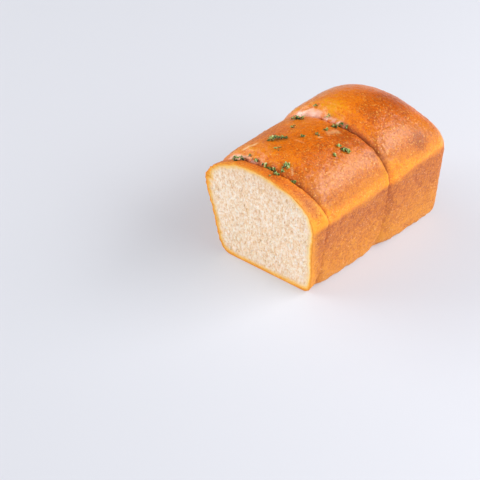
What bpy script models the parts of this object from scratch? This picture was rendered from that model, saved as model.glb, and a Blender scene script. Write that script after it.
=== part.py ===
"""The uncut rest of a soft pan loaf of garlic bread: two whole lobes of dough and the start of a third, cut across.

Metres, +Z up. The loaf runs along +Y from its cut face to its far end, and it stands on z = 0.
"""

import math
import random
from collections import namedtuple

import bmesh
import bpy
from mathutils import Matrix, Vector, noise
from mathutils.bvhtree import BVHTree

# A cross-section: half its width at the shoulder, its height, and the two powers of its dome's curve.
Section = namedtuple("Section", "half_width height side_power crown_power")
# A crease or an end of a lobe: its place along the loaf, how far its right end lies ahead, its bow, how much farther
# it lies on the walls than on the dome, and its section.
Crease = namedtuple("Crease", "along slant bow kink section")
# A lobe of dough: its fullest section, where that lies (-1 near, 1 far), and how its two halves round off.
Lobe = namedtuple("Lobe", "crown crown_at near_power far_power")

SHOULDER_HEIGHT = 0.068
FOOT_HALF_WIDTH = 0.0444
SHOULDER_HALF_WIDTH = 0.052
FOOT_RADIUS = 0.0074
END_TAPER = 0.0020
SHOULDER_CORNER = 0.022
FOOT_CORNER = 0.014
SLANT_HALF_WIDTH = 0.052
KINK_POWER = 16.0
# How steeply a lobe ends: towards a crease, and at the loaf's far end.
CREASE_ENDING = 1.5
FAR_ENDING = 2.0

CREASES = (
    Crease(-0.061, 0.0, 0.0, 0.0, Section(0.0490, 0.0960, 1.7, 2.6)),
    Crease(-0.0009, 0.0066, 0.0044, 0.0033, Section(0.0492, 0.1025, 1.7, 2.6)),
    Crease(0.0759, 0.0069, -0.0015, 0.0033, Section(0.0497, 0.1050, 2.4, 2.5)),
    Crease(0.1630, 0.0, 0.0, 0.0, Section(0.0549, SHOULDER_HEIGHT, 1.92, 2.4)),
)
LOBES = (
    Lobe(Section(0.0520, 0.1073, 1.58, 2.71), 0.0, 3.0, 3.0),
    Lobe(Section(0.0523, 0.1115, 1.70, 2.50), -0.20, 3.5, 3.4),
    Lobe(Section(0.0549, 0.1158, 1.92, 2.40), -0.28, 3.1, 1.7),
)
RUN_START = 0.5

CUT_YAW = math.radians(5.8)
CUT_LEAN = math.radians(7.1)

UNEVEN_DEPTH = 0.0007
UNEVEN_LENGTH = 0.026

# Clumps of chopped parsley: place across and along the loaf, number of flakes, and how far they spread.
PARSLEY_CLUMPS = (
    (-0.0249, -0.0044, 8, 0.0042),
    (-0.0179, 0.0006, 1, 0.0),
    (-0.0115, -0.0006, 3, 0.0020),
    (0.0001, -0.0006, 4, 0.0032),
    (0.0075, 0.0005, 3, 0.0022),
    (0.0111, -0.0089, 1, 0.0),
    (0.0137, -0.0018, 2, 0.0030),
    (0.0252, 0.0038, 3, 0.0018),
    (0.0128, 0.0036, 1, 0.0),
    (0.0134, 0.0074, 5, 0.0030),
    (-0.0023, 0.0151, 2, 0.0018),
    (-0.0149, 0.0230, 4, 0.0034),
    (-0.0099, 0.0278, 4, 0.0034),
    (0.0009, 0.0398, 2, 0.0014),
    (-0.0162, 0.0460, 2, 0.0012),
    (0.0281, 0.0456, 1, 0.0),
    (0.0063, 0.0500, 2, 0.0014),
    (0.0252, 0.0557, 2, 0.0018),
    (0.0302, 0.0572, 4, 0.0028),
    (-0.0278, 0.0598, 2, 0.0010),
    (0.0061, 0.0607, 2, 0.0014),
    (-0.0231, 0.0627, 6, 0.0042),
    (0.0066, 0.0706, 3, 0.0024),
    (-0.0076, 0.0771, 2, 0.0016),
    (0.0069, 0.0775, 3, 0.0024),
    (0.0118, 0.0779, 1, 0.0),
    (-0.0231, 0.0802, 1, 0.0),
)
PARSLEY_SEED = 7
FLAKE_LENGTH = (0.0026, 0.0044)
FLAKE_WIDTH_SHARE = 0.65
FLAKE_THICKNESS = 0.0008
FLAKE_WAVE = 0.0003
FLAKE_NOTCH = 0.62
FLAKE_SIDES = 6
FLAKE_LIFT = 0.0003
FLAKE_TILT = math.radians(28.0)
DROP_HEIGHT = 0.2

STEPS_ACROSS = 28
STEPS_PER_HALF_LOBE = (8, 8, 10)
STEPS_FOOT = 4
STEPS_WALL = 7


def mix(start, end, share):
    return start + (end - start) * share


def mix_sections(start, end, share):
    return Section(*(mix(a, b, share) for a, b in zip(start, end)))


def rounded(share, power, ending):
    """1 at the fullest place, falling to 0 at share = 1, more steeply there with a higher ending."""
    return max(0.0, 1.0 - share**power) ** (1.0 / ending)


def lobe_and_place(run):
    """The lobe that a place along the loaf lies in, counted in lobes, and its place there from -1 to 1."""
    index = min(int(run + 1e-9), len(LOBES) - 1)
    return index, 2.0 * (run - index) - 1.0


def section_at(index, place):
    lobe = LOBES[index]
    if place < lobe.crown_at:
        share = (lobe.crown_at - place) / (lobe.crown_at + 1.0)
        return mix_sections(CREASES[index].section, lobe.crown, rounded(share, lobe.near_power, CREASE_ENDING))
    share = (place - lobe.crown_at) / (1.0 - lobe.crown_at)
    ending = FAR_ENDING if index == len(LOBES) - 1 else CREASE_ENDING
    return mix_sections(CREASES[index + 1].section, lobe.crown, rounded(share, lobe.far_power, ending))


def round_off(distance, radius):
    """How far a corner of this radius draws in at a distance from where it ends."""
    if distance >= radius:
        return 0.0
    return radius - math.sqrt(radius * radius - (radius - distance) ** 2)


def crease_line(crease, x):
    sideways = x / SLANT_HALF_WIDTH
    kink = crease.kink * abs(sideways) ** KINK_POWER
    return crease.along + crease.slant * sideways + crease.bow * sideways * sideways + kink


def crust_point(across, run, rise):
    """Bends a point of the block onto the crust: across from -1 to 1, along in lobes, up from 0 to 1."""
    index, place = lobe_and_place(run)
    section = section_at(index, place)
    height = SHOULDER_HEIGHT * rise
    foot = round_off(height, FOOT_RADIUS)
    half_width = section.half_width - foot
    half_width -= (SHOULDER_HALF_WIDTH - FOOT_HALF_WIDTH) * (1.0 - rise)
    if index == len(LOBES) - 1:
        length = CREASES[-1].along - CREASES[-2].along
        corner = mix(FOOT_CORNER, SHOULDER_CORNER, rise)
        half_width -= round_off((1.0 - place) / 2.0 * length, corner)
    x = half_width * across
    near = crease_line(CREASES[index], section.half_width * across)
    far = crease_line(CREASES[index + 1], section.half_width * across)
    if index == len(LOBES) - 1:
        far -= END_TAPER * (1.0 - rise) + foot
    if rise == 1.0:
        dome = (1.0 - abs(across) ** section.side_power) ** (1.0 / section.crown_power)
        height += (section.height - SHOULDER_HEIGHT) * dome
    return Vector((x, mix(near, far, (place + 1.0) / 2.0), height))


def sine_steps(steps):
    """Shares from 0 to 1, crowded towards 1."""
    return [math.sin(math.pi / 2.0 * step / steps) for step in range(steps + 1)]


def lines_across():
    shares = sine_steps(STEPS_ACROSS // 2)
    return [-share for share in shares[1:-1]] + shares[:-1]


def lines_along():
    """Where the block is sliced along the loaf, closest at the creases."""
    lines = []
    for index, (lobe, steps) in enumerate(zip(LOBES, STEPS_PER_HALF_LOBE)):
        for share in sine_steps(steps):
            near = mix(lobe.crown_at, -1.0, share)
            far = mix(lobe.crown_at, 1.0, share)
            lines += [index + (near + 1.0) / 2.0, index + (far + 1.0) / 2.0]
    return sorted({round(line, 6) for line in lines if RUN_START < line < len(LOBES) - 1e-6})


def lines_up():
    lines = []
    for step in range(1, STEPS_FOOT + 1):
        angle = math.pi / 2.0 * step / STEPS_FOOT
        lines.append(FOOT_RADIUS * (1.0 - math.cos(angle)) / SHOULDER_HEIGHT)
    foot = lines[-1]
    return lines + [mix(foot, 1.0, step / STEPS_WALL) for step in range(1, STEPS_WALL)]


def slice_block(mesh, lines, direction):
    for line in lines:
        parts = mesh.verts[:] + mesh.edges[:] + mesh.faces[:]
        bmesh.ops.bisect_plane(mesh, geom=parts, dist=1e-7, plane_co=direction * line, plane_no=direction)


def uneven(mesh):
    """Pushes the baked crust in and out a little, and leaves the flat base flat."""
    mesh.normal_update()
    moves = []
    for vert in mesh.verts:
        if vert.co.z > FOOT_RADIUS / 2.0:
            moves.append((vert, vert.normal * UNEVEN_DEPTH * noise.noise(vert.co / UNEVEN_LENGTH)))
    for vert, move in moves:
        vert.co += move


def cut_across(mesh):
    """Cuts the loaf's near end off with one sloping stroke of the knife and closes it with crumb."""
    stroke = Vector((-math.tan(CUT_YAW), 1.0, math.tan(CUT_LEAN))).normalized()
    parts = mesh.verts[:] + mesh.edges[:] + mesh.faces[:]
    bmesh.ops.bisect_plane(mesh, geom=parts, plane_co=(0.0, 0.0, 0.0), plane_no=stroke, clear_inner=True)
    rim = [edge for edge in mesh.edges if edge.is_boundary]
    crumb = bmesh.ops.holes_fill(mesh, edges=rim, sides=0)["faces"]
    for face in crumb:
        face.material_index = 1


def flatten_base(mesh):
    base = [face for face in mesh.faces if all(abs(vert.co.z) < 1e-6 for vert in face.verts)]
    bmesh.ops.dissolve_faces(mesh, faces=base)


def bake_loaf(materials):
    mesh = bmesh.new()
    bmesh.ops.create_cube(mesh, size=1.0)
    length = len(LOBES) - RUN_START
    for vert in mesh.verts:
        vert.co = Vector((2.0 * vert.co.x, RUN_START + length * (vert.co.y + 0.5), vert.co.z + 0.5))
    slice_block(mesh, lines_across(), Vector((1.0, 0.0, 0.0)))
    slice_block(mesh, lines_along(), Vector((0.0, 1.0, 0.0)))
    slice_block(mesh, lines_up(), Vector((0.0, 0.0, 1.0)))
    for vert in mesh.verts:
        vert.co = crust_point(*vert.co)
    uneven(mesh)
    flatten_base(mesh)
    cut_across(mesh)
    bmesh.ops.recalc_face_normals(mesh, faces=mesh.faces)
    data = bpy.data.meshes.new("loaf")
    mesh.to_mesh(data)
    mesh.free()
    for material in materials:
        data.materials.append(material)
    loaf = bpy.data.objects.new("loaf", data)
    bpy.context.scene.collection.objects.link(loaf)
    return loaf


def parsley_flake(name, spot, facing, length, turn, tilt, material):
    """One small wavy piece of leaf with three lobes, half pressed into the crust at a spot."""
    mesh = bmesh.new()
    bmesh.ops.create_cone(
        mesh,
        cap_ends=True,
        cap_tris=True,
        segments=FLAKE_SIDES,
        radius1=0.5,
        radius2=0.5,
        depth=FLAKE_THICKNESS,
    )
    for vert in mesh.verts:
        angle = math.atan2(vert.co.y, vert.co.x)
        reach = vert.co.xy.length
        notch = mix(FLAKE_NOTCH, 1.0, 0.5 + 0.5 * math.cos(3.0 * angle))
        vert.co.x *= length * notch
        vert.co.y *= length * FLAKE_WIDTH_SHARE * notch
        vert.co.z += FLAKE_WAVE * math.sin(2.0 * angle) * 2.0 * reach
    lie = facing.to_track_quat("Z", "Y").to_matrix().to_4x4()
    lie = lie @ Matrix.Rotation(turn, 4, "Z") @ Matrix.Rotation(tilt, 4, "X")
    mesh.transform(Matrix.Translation(spot + facing * FLAKE_LIFT) @ lie)
    bmesh.ops.recalc_face_normals(mesh, faces=mesh.faces)
    data = bpy.data.meshes.new(name)
    mesh.to_mesh(data)
    mesh.free()
    data.materials.append(material)
    return bpy.data.objects.new(name, data)


def scatter_parsley(loaf, material):
    """A collection of flakes lying on the loaf in the clumps named above."""
    flakes = bpy.data.collections.new("parsley")
    bpy.context.scene.collection.children.link(flakes)
    crust = BVHTree.FromObject(loaf, bpy.context.evaluated_depsgraph_get())
    draw = random.Random(PARSLEY_SEED)
    for across, along, count, spread in PARSLEY_CLUMPS:
        for _ in range(count):
            angle = draw.uniform(0.0, math.tau)
            away = spread * math.sqrt(draw.random())
            above = Vector((across + away * math.cos(angle), along + away * math.sin(angle), DROP_HEIGHT))
            spot, facing, _, _ = crust.ray_cast(above, Vector((0.0, 0.0, -1.0)))
            length = draw.uniform(*FLAKE_LENGTH)
            turn = draw.uniform(0.0, math.tau)
            tilt = draw.uniform(-FLAKE_TILT, FLAKE_TILT)
            flakes.objects.link(parsley_flake("flake", spot, facing, length, turn, tilt, material))
    return flakes


def fuse(loaf, flakes):
    """Joins the flakes to the crust as one solid, then removes the loose ones."""
    join = loaf.modifiers.new("parsley", "BOOLEAN")
    join.operation = "UNION"
    join.solver = "EXACT"
    join.material_mode = "TRANSFER"
    join.operand_type = "COLLECTION"
    join.collection = flakes
    graph = bpy.context.evaluated_depsgraph_get()
    fused = bpy.data.meshes.new_from_object(loaf.evaluated_get(graph))
    loaf.modifiers.remove(join)
    loaf.data = fused
    for flake in list(flakes.objects):
        bpy.data.objects.remove(flake, do_unlink=True)
    bpy.data.collections.remove(flakes)


def keep_largest_piece(loaf):
    mesh = bmesh.new()
    mesh.from_mesh(loaf.data)
    left = set(mesh.verts)
    pieces = []
    while left:
        piece = set()
        edge_of_piece = [left.pop()]
        while edge_of_piece:
            vert = edge_of_piece.pop()
            piece.add(vert)
            for edge in vert.link_edges:
                other = edge.other_vert(vert)
                if other in left:
                    left.remove(other)
                    edge_of_piece.append(other)
        pieces.append(piece)
    pieces.sort(key=len)
    for scrap in pieces[:-1]:
        bmesh.ops.delete(mesh, geom=list(scrap), context="VERTS")
    mesh.to_mesh(loaf.data)
    mesh.free()


def stand_at_origin(loaf):
    """Puts the middle of the base's box at the origin."""
    corners = [[getattr(vert.co, axis) for vert in loaf.data.vertices] for axis in "xyz"]
    low = Vector([min(values) for values in corners])
    high = Vector([max(values) for values in corners])
    middle = (low + high) / 2.0
    loaf.data.transform(Matrix.Translation((-middle.x, -middle.y, -low.z)))


def plain_material(name, colour, roughness):
    material = bpy.data.materials.new(name)
    material.use_nodes = True
    shader = material.node_tree.nodes["Principled BSDF"]
    shader.inputs["Base Color"].default_value = (*colour, 1.0)
    shader.inputs["Roughness"].default_value = roughness
    shader.inputs["Metallic"].default_value = 0.0
    return material


def crust_material():
    return plain_material("golden_crust", (0.56, 0.20, 0.04), 0.35)


def crumb_material():
    return plain_material("white_crumb", (0.83, 0.70, 0.50), 0.9)


def parsley_material():
    return plain_material("chopped_parsley", (0.05, 0.16, 0.04), 0.6)


def clear_scene():
    for thing in list(bpy.data.objects):
        bpy.data.objects.remove(thing, do_unlink=True)


def main():
    clear_scene()
    loaf = bake_loaf([crust_material(), crumb_material()])
    fuse(loaf, scatter_parsley(loaf, parsley_material()))
    keep_largest_piece(loaf)
    stand_at_origin(loaf)


main()
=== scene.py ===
import math
import random
from collections import namedtuple

import bmesh
import bpy
from mathutils import Matrix, Vector, noise
from mathutils.bvhtree import BVHTree
from mathutils.kdtree import KDTree


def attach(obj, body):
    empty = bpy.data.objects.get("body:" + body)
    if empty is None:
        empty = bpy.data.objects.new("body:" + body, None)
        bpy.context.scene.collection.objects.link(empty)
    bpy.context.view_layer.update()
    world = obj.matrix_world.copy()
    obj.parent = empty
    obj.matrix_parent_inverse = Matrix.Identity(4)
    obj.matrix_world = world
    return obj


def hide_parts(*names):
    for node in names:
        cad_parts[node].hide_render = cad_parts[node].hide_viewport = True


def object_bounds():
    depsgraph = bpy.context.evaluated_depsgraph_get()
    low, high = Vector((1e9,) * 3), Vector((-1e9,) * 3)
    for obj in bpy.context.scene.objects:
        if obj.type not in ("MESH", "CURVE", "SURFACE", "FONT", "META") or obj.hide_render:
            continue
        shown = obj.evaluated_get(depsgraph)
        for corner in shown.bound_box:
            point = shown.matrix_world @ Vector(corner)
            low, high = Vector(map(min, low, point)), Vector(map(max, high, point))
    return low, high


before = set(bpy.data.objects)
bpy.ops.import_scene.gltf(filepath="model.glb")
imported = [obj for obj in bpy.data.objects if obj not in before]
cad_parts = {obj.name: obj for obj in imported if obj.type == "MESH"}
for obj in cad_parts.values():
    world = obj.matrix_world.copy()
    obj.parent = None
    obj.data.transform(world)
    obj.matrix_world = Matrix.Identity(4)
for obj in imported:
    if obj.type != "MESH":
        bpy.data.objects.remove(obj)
cadLow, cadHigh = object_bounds()
print("frame loaded, nodes:", len(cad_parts))

# the loaf's form is the same as the solid's, in metres from the foot of the cut
Section = namedtuple("Section", "halfWidth height sidePower crownPower")
Crease = namedtuple("Crease", "along slant bow kink section")
Lobe = namedtuple("Lobe", "crown crownAt nearPower farPower")

loafShape = {
    "shoulderHeight": 0.068,
    "footHalfWidth": 0.0444,
    "shoulderHalfWidth": 0.052,
    "footRadius": 0.0074,
    "endTaper": 0.002,
    "shoulderCorner": 0.022,
    "footCorner": 0.014,
    "slantHalfWidth": 0.052,
    "kinkPower": 16.0,
    "creaseEnding": 1.5,  # how steeply a lobe ends, towards a crease and at the loaf's far end
    "farEnding": 2.0,
    "wallPower": 7.0,
    "wallSoftness": 0.0006,  # rounds the bottom of a crease on the walls
    "wallFill": 0.003,  # a crease is this much shallower on the walls than at the foot
    "grooveDepth": 0.0007,
    "grooveReach": 0.0015,
    "fillTo": 0.35,  # shares of the shoulder's height
    "grooveTo": 0.2,
    "domeFrom": 0.8,
    "raggedDepth": 0.0009,  # the inner creases wander so much, over such lengths
    "raggedLength": 0.006,
    "creases": (
        Crease(-0.061, 0.0, 0.0, 0.0, Section(0.049, 0.096, 1.7, 2.6)),
        Crease(-0.0009, 0.0066, 0.0044, 0.0033, Section(0.0492, 0.1025, 1.7, 2.6)),
        Crease(0.0759, 0.0069, -0.0015, 0.0033, Section(0.0497, 0.105, 2.4, 2.5)),
        Crease(0.163, 0.0, 0.0, 0.0, Section(0.0549, 0.068, 1.92, 2.4)),
    ),
    "lobes": (
        Lobe(Section(0.052, 0.1073, 1.58, 2.71), 0.0, 3.0, 3.0),
        Lobe(Section(0.0523, 0.1115, 1.7, 2.5), -0.2, 3.5, 3.4),
        Lobe(Section(0.0549, 0.1158, 1.92, 2.4), -0.28, 3.1, 1.7),
    ),
    "cutYaw": math.radians(5.8),
    "cutLean": math.radians(7.1),
    "placeInFrame": (0.000142, -0.073845, 0.0),  # from the cut's foot to the middle of the base
}


def mix(start, end, share):
    return start + (end - start) * share


def smooth(low, high, value):
    share = min(1.0, max(0.0, (value - low) / (high - low)))
    return share * share * (3.0 - 2.0 * share)


def fade(low, high, value):
    return 1.0 - smooth(low, high, value)


def bump(middle, reach, value):
    return fade(0.0, reach, abs(value - middle))  # 1 at the middle, 0 past the reach


def mixSections(start, end, share):
    return Section(*(mix(a, b, share) for a, b in zip(start, end)))


def rounded(share, power, ending):
    return max(0.0, 1.0 - share**power) ** (1.0 / ending)


def roundOff(distance, radius):
    if distance >= radius:
        return 0.0
    return radius - math.sqrt(radius * radius - (radius - distance) ** 2)


def lobeAndPlace(run):
    index = min(int(run + 1e-9), len(loafShape["lobes"]) - 1)
    return index, 2.0 * (run - index) - 1.0


def sectionAt(index, place, rise):
    # the lobes are round on the dome, and pressed flat by the tin on the walls
    shape = loafShape
    lobe = shape["lobes"][index]
    near, far = shape["creases"][index:index + 2]
    if place < lobe.crownAt:
        edge, reach, power = near, lobe.crownAt + 1.0, lobe.nearPower
    else:
        edge, reach, power = far, 1.0 - lobe.crownAt, lobe.farPower
    share = abs(place - lobe.crownAt) / reach
    length = (far.along - near.along) / 2.0 * reach
    away = math.hypot((1.0 - share) * length, shape["wallSoftness"]) - shape["wallSoftness"]
    pressed = 1.0 - (1.0 - away / length) ** shape["wallPower"]
    section = edge.section
    ending = shape["farEnding"]
    if edge is not shape["creases"][-1]:
        ending = shape["creaseEnding"]
        fill = shape["wallFill"] * smooth(0.0, shape["fillTo"], rise)
        groove = math.exp(-away / shape["grooveReach"]) * smooth(0.0, shape["grooveTo"], rise)
        fill -= shape["grooveDepth"] * groove
        section = section._replace(halfWidth=section.halfWidth + fill)
    domed = mix(pressed, rounded(share, power, ending), smooth(shape["domeFrom"], 1.0, rise))
    return mixSections(section, lobe.crown, domed)


def creaseLine(crease, x):
    shape = loafShape
    if crease not in shape["creases"][1:-1]:
        return crease.along
    sideways = x / shape["slantHalfWidth"]
    ragged = shape["raggedDepth"] * noise.noise(Vector((x, crease.along, 0.0)) / shape["raggedLength"])
    kink = crease.kink * abs(sideways) ** shape["kinkPower"]
    return crease.along + crease.slant * sideways + crease.bow * sideways * sideways + kink + ragged


def crustPoint(across, run, rise):
    # the block's point, bent onto the crust: across -1 to 1, along in lobes, up 0 to 1
    shape = loafShape
    last = len(shape["lobes"]) - 1
    index, place = lobeAndPlace(run)
    height = shape["shoulderHeight"] * rise
    length = shape["creases"][index + 1].along - shape["creases"][index].along
    section = sectionAt(index, place, rise)
    foot = roundOff(height, shape["footRadius"])
    halfWidth = section.halfWidth - foot
    halfWidth -= (shape["shoulderHalfWidth"] - shape["footHalfWidth"]) * (1.0 - rise)
    if index == last:
        corner = mix(shape["footCorner"], shape["shoulderCorner"], rise)
        halfWidth -= roundOff((1.0 - place) / 2.0 * length, corner)
    x = halfWidth * across
    near = creaseLine(shape["creases"][index], section.halfWidth * across)
    far = creaseLine(shape["creases"][index + 1], section.halfWidth * across)
    if index == last:
        far -= shape["endTaper"] * (1.0 - rise) + foot
    if rise == 1.0:
        dome = (1.0 - abs(across) ** section.sidePower) ** (1.0 / section.crownPower)
        height += (section.height - shape["shoulderHeight"]) * dome
    return Vector((x, mix(near, far, (place + 1.0) / 2.0), height))


# shader maths as Python sums
class Sum:
    # a socket of a material's tree, or a sum made from it

    def __init__(self, paint, socket):
        self.paint = paint
        self.socket = socket

    def math(self, operation, first, second):
        return self.paint.node("Math", {"operation": operation}, {0: first, 1: second})

    def __add__(self, other):
        return self.math("ADD", self, other)

    def __sub__(self, other):
        return self.math("SUBTRACT", self, other)

    def __rsub__(self, other):
        return self.math("SUBTRACT", other, self)

    def __mul__(self, other):
        return self.math("MULTIPLY", self, other)

    __radd__ = __add__
    __rmul__ = __mul__

    def size(self):
        return self.paint.node("Math", {"operation": "ABSOLUTE"}, {0: self})

    def ease(self, low, high):
        settings = {"interpolation_type": "SMOOTHSTEP"}
        return self.paint.node("MapRange", settings, {"Value": self, "From Min": low, "From Max": high})


class Paint:
    # the nodes of one material, or of the world round the table

    def __init__(self, owner):
        self.owner = owner
        owner.use_nodes = True
        self.tree = owner.node_tree
        self.tree.nodes.clear()
        self.place = self.node("TexCoord", out="Object")

    def node(self, kind, settings=None, sockets=None, out=0):
        made = self.tree.nodes.new("ShaderNode" + kind)
        for key, value in (settings or {}).items():
            if key == "stops":
                self.setStops(made.color_ramp, value)
            else:
                setattr(made, key, value)
        for key, value in (sockets or {}).items():
            if isinstance(value, Sum):
                self.tree.links.new(value.socket, made.inputs[key])
            else:
                made.inputs[key].default_value = value
        return Sum(self, made.outputs[out]) if made.outputs else None

    def setStops(self, ramp, stops):
        while len(ramp.elements) < len(stops):
            ramp.elements.new(1.0)
        for element, (position, colour) in zip(ramp.elements, stops):
            element.position = position
            element.color = (*colour, 1.0)

    def along(self, axis):
        return self.node("SeparateXYZ", None, {0: self.place}, axis)

    def ramp(self, value, stops):
        return self.node("ValToRGB", {"stops": stops}, {"Fac": value}, "Color")

    def attribute(self, name):
        return self.node("Attribute", {"attribute_name": name}, out="Fac")

    def noise(self, length, detail=2.0, rough=0.5, place=None):
        sockets = {"Vector": place or self.place, "Scale": 1.0 / length, "Detail": detail, "Roughness": rough}
        return self.node("TexNoise", {"noise_dimensions": "3D"}, sockets, "Fac")

    def cells(self, length, out="Distance", place=None):
        return self.node("TexVoronoi", None, {"Vector": place or self.place, "Scale": 1.0 / length}, out)

    def dots(self, spacing, inner, outer):
        # round dots, and for each whether it shows
        odds = self.node("SeparateColor", None, {0: self.cells(spacing, "Color")}, 0)
        return 1.0 - self.cells(spacing).ease(inner, outer), odds.ease(0.45, 0.55)

    def mixColour(self, share, first, second, blend="MIX"):
        settings = {"data_type": "RGBA", "blend_type": blend}
        return self.node("Mix", settings, {0: share, 6: first, 7: second}, 2)

    def finish(self, bumpHeight=None, bumpDepth=0.0, **sockets):
        inputs = {key.replace("_", " "): value for key, value in sockets.items()}
        if bumpHeight is not None:
            relief = {"Height": bumpHeight, "Distance": bumpDepth, "Strength": 1.0}
            inputs["Normal"] = self.node("Bump", None, relief, "Normal")
        self.node("OutputMaterial", None, {"Surface": self.node("BsdfPrincipled", None, inputs)})
        return self.owner


def rgb(red, green, blue):
    return (red, green, blue, 1.0)


def addObject(name, data):
    made = bpy.data.objects.new(name, data)
    bpy.context.scene.collection.objects.link(made)
    return made


def addPiece(name, mesh, materials, sharpAngle):
    data = bpy.data.meshes.new(name)
    mesh.transform(Matrix.Translation(loafShape["placeInFrame"]))
    mesh.to_mesh(data)
    mesh.free()
    for material in materials:
        data.materials.append(material)
    data.shade_smooth()
    data.set_sharp_from_angle(angle=sharpAngle)
    piece = addObject(name, data)
    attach(piece, "root")
    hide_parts("loaf")
    data.calc_loop_triangles()
    print(name, "made, triangles:", len(data.loop_triangles))
    return piece


crustGrid = {
    "runStart": 0.7,  # the cut takes the rest of the first lobe
    "stepLength": 0.00078,
    "creaseCrowding": 1.3,
    "acrossSteps": 168,
    "footSteps": 7,
    "wallSteps": 62,
}


def acrossLines():
    half = crustGrid["acrossSteps"] // 2
    shares = [math.sin(math.pi / 2.0 * step / half) for step in range(half + 1)]
    return [-share for share in shares[:0:-1]] + shares


def alongLines():
    # rows along the loaf, closest at the creases
    lines = [crustGrid["runStart"], float(len(loafShape["lobes"]))]
    creases = loafShape["creases"]
    for index, lobe in enumerate(loafShape["lobes"]):
        length = creases[index + 1].along - creases[index].along
        for end in (-1.0, 1.0):
            steps = round(abs(end - lobe.crownAt) / 2.0 * length / crustGrid["stepLength"])
            for step in range(steps + 1):
                share = 1.0 - (1.0 - step / steps) ** crustGrid["creaseCrowding"]
                lines.append(index + (mix(lobe.crownAt, end, share) + 1.0) / 2.0)
    return sorted({round(line, 6) for line in lines if line >= crustGrid["runStart"]})


def upLines():
    lines = []
    for step in range(crustGrid["footSteps"] + 1):
        angle = math.pi / 2.0 * step / crustGrid["footSteps"]
        lines.append(loafShape["footRadius"] * (1.0 - math.cos(angle)) / loafShape["shoulderHeight"])
    walls = crustGrid["wallSteps"]
    return lines + [mix(lines[-1], 1.0, step / walls) for step in range(1, walls + 1)]


def gridBlock(lines):
    # a cube cut into even bars one way after another, and the lines' values in place of its coordinates
    mesh = bmesh.new()
    bmesh.ops.create_cube(mesh, size=1.0)
    for axis, values in enumerate(lines):
        bars = [edge for edge in mesh.edges if abs((edge.verts[0].co - edge.verts[1].co)[axis]) > 0.5]
        bmesh.ops.subdivide_edges(mesh, edges=bars, cuts=len(values) - 2, use_grid_fill=True)
    for vert in mesh.verts:
        steps = [round((vert.co[axis] + 0.5) * (len(lines[axis]) - 1)) for axis in range(3)]
        vert.co = Vector([lines[axis][steps[axis]] for axis in range(3)])
    return mesh


def creaseGaps(run):
    # metres along the loaf from each inner crease, less than 0 on its near side
    index, place = lobeAndPlace(run)
    creases = loafShape["creases"]
    length = creases[index + 1].along - creases[index].along
    along = creases[index].along + length * (place + 1.0) / 2.0
    return along - creases[1].along, along - creases[2].along


def cutPlane():
    # right, up and outwards in the face that the knife left
    outwards = Vector((math.tan(loafShape["cutYaw"]), -1.0, -math.tan(loafShape["cutLean"]))).normalized()
    right = Vector((1.0, math.tan(loafShape["cutYaw"]), 0.0)).normalized()
    return right, outwards.cross(right), outwards


def cutGap(co):
    # metres behind the cut
    return -co.dot(cutPlane()[2])


def spotsAt(co, spots):
    # round spots, each with its place, its reach and its amount in the middle
    total = 0.0
    for x, y, z, reach, amount in spots:
        total += amount * fade(0.0, reach, (co - Vector((x, y, z))).length)
    return total


# the baked skin's relief, in metres
crustRelief = {
    "unevenDepth": 0.0007,
    "unevenLength": 0.026,
    "skin": ((0.00022, 0.0034), (0.00014, 0.0018)),  # depths and lengths of the dome's orange-peel skin
    "wrinkleDepth": 0.00055,
    "wrinkleSize": (0.0062, 0.003, 0.0046),
    "wrinkleAt": (0.008, 0.014),  # deepest so far behind a crease, and how far they reach
    "wrinkleAway": 0.3,  # the share that is left away from the creases
    "bubbleHeight": 0.00034,
    "bubbleSpacing": 0.004,
    "bubbleRadius": (0.24, 0.09),  # in spacings, and how much it varies
    "butterLevels": 0.9,
    "pits": ((0.00036, 0.0021), (0.00045, 0.0062)),  # depths and lengths on the walls that touched the tin
    "nubDepth": 0.0012,
    "nubLength": 0.0042,
    "nubsUpTo": 0.008,
    "lipHeight": 0.0006,  # a lobe's lip, just before a crease
    "lipAt": -0.0022,
    "lipReach": 0.0045,
    "lipFrom": ((0.1, 0.4), (0.2, 0.7)),  # where the lip starts to the right, for each crease
    "tornDepth": 0.001,  # the knife tore the left edge of the cut
    "tornLength": 0.0034,
    "tornReach": 0.006,
    "tornTo": 0.03,
    "lumps": ((-0.0515, -0.012, 0.0775, 0.0055, 0.0017), (-0.049, -0.009, 0.07, 0.0035, 0.0008)),
    "standing": 0.003,  # the foot keeps its form, so that the loaf stands flat
}


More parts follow.
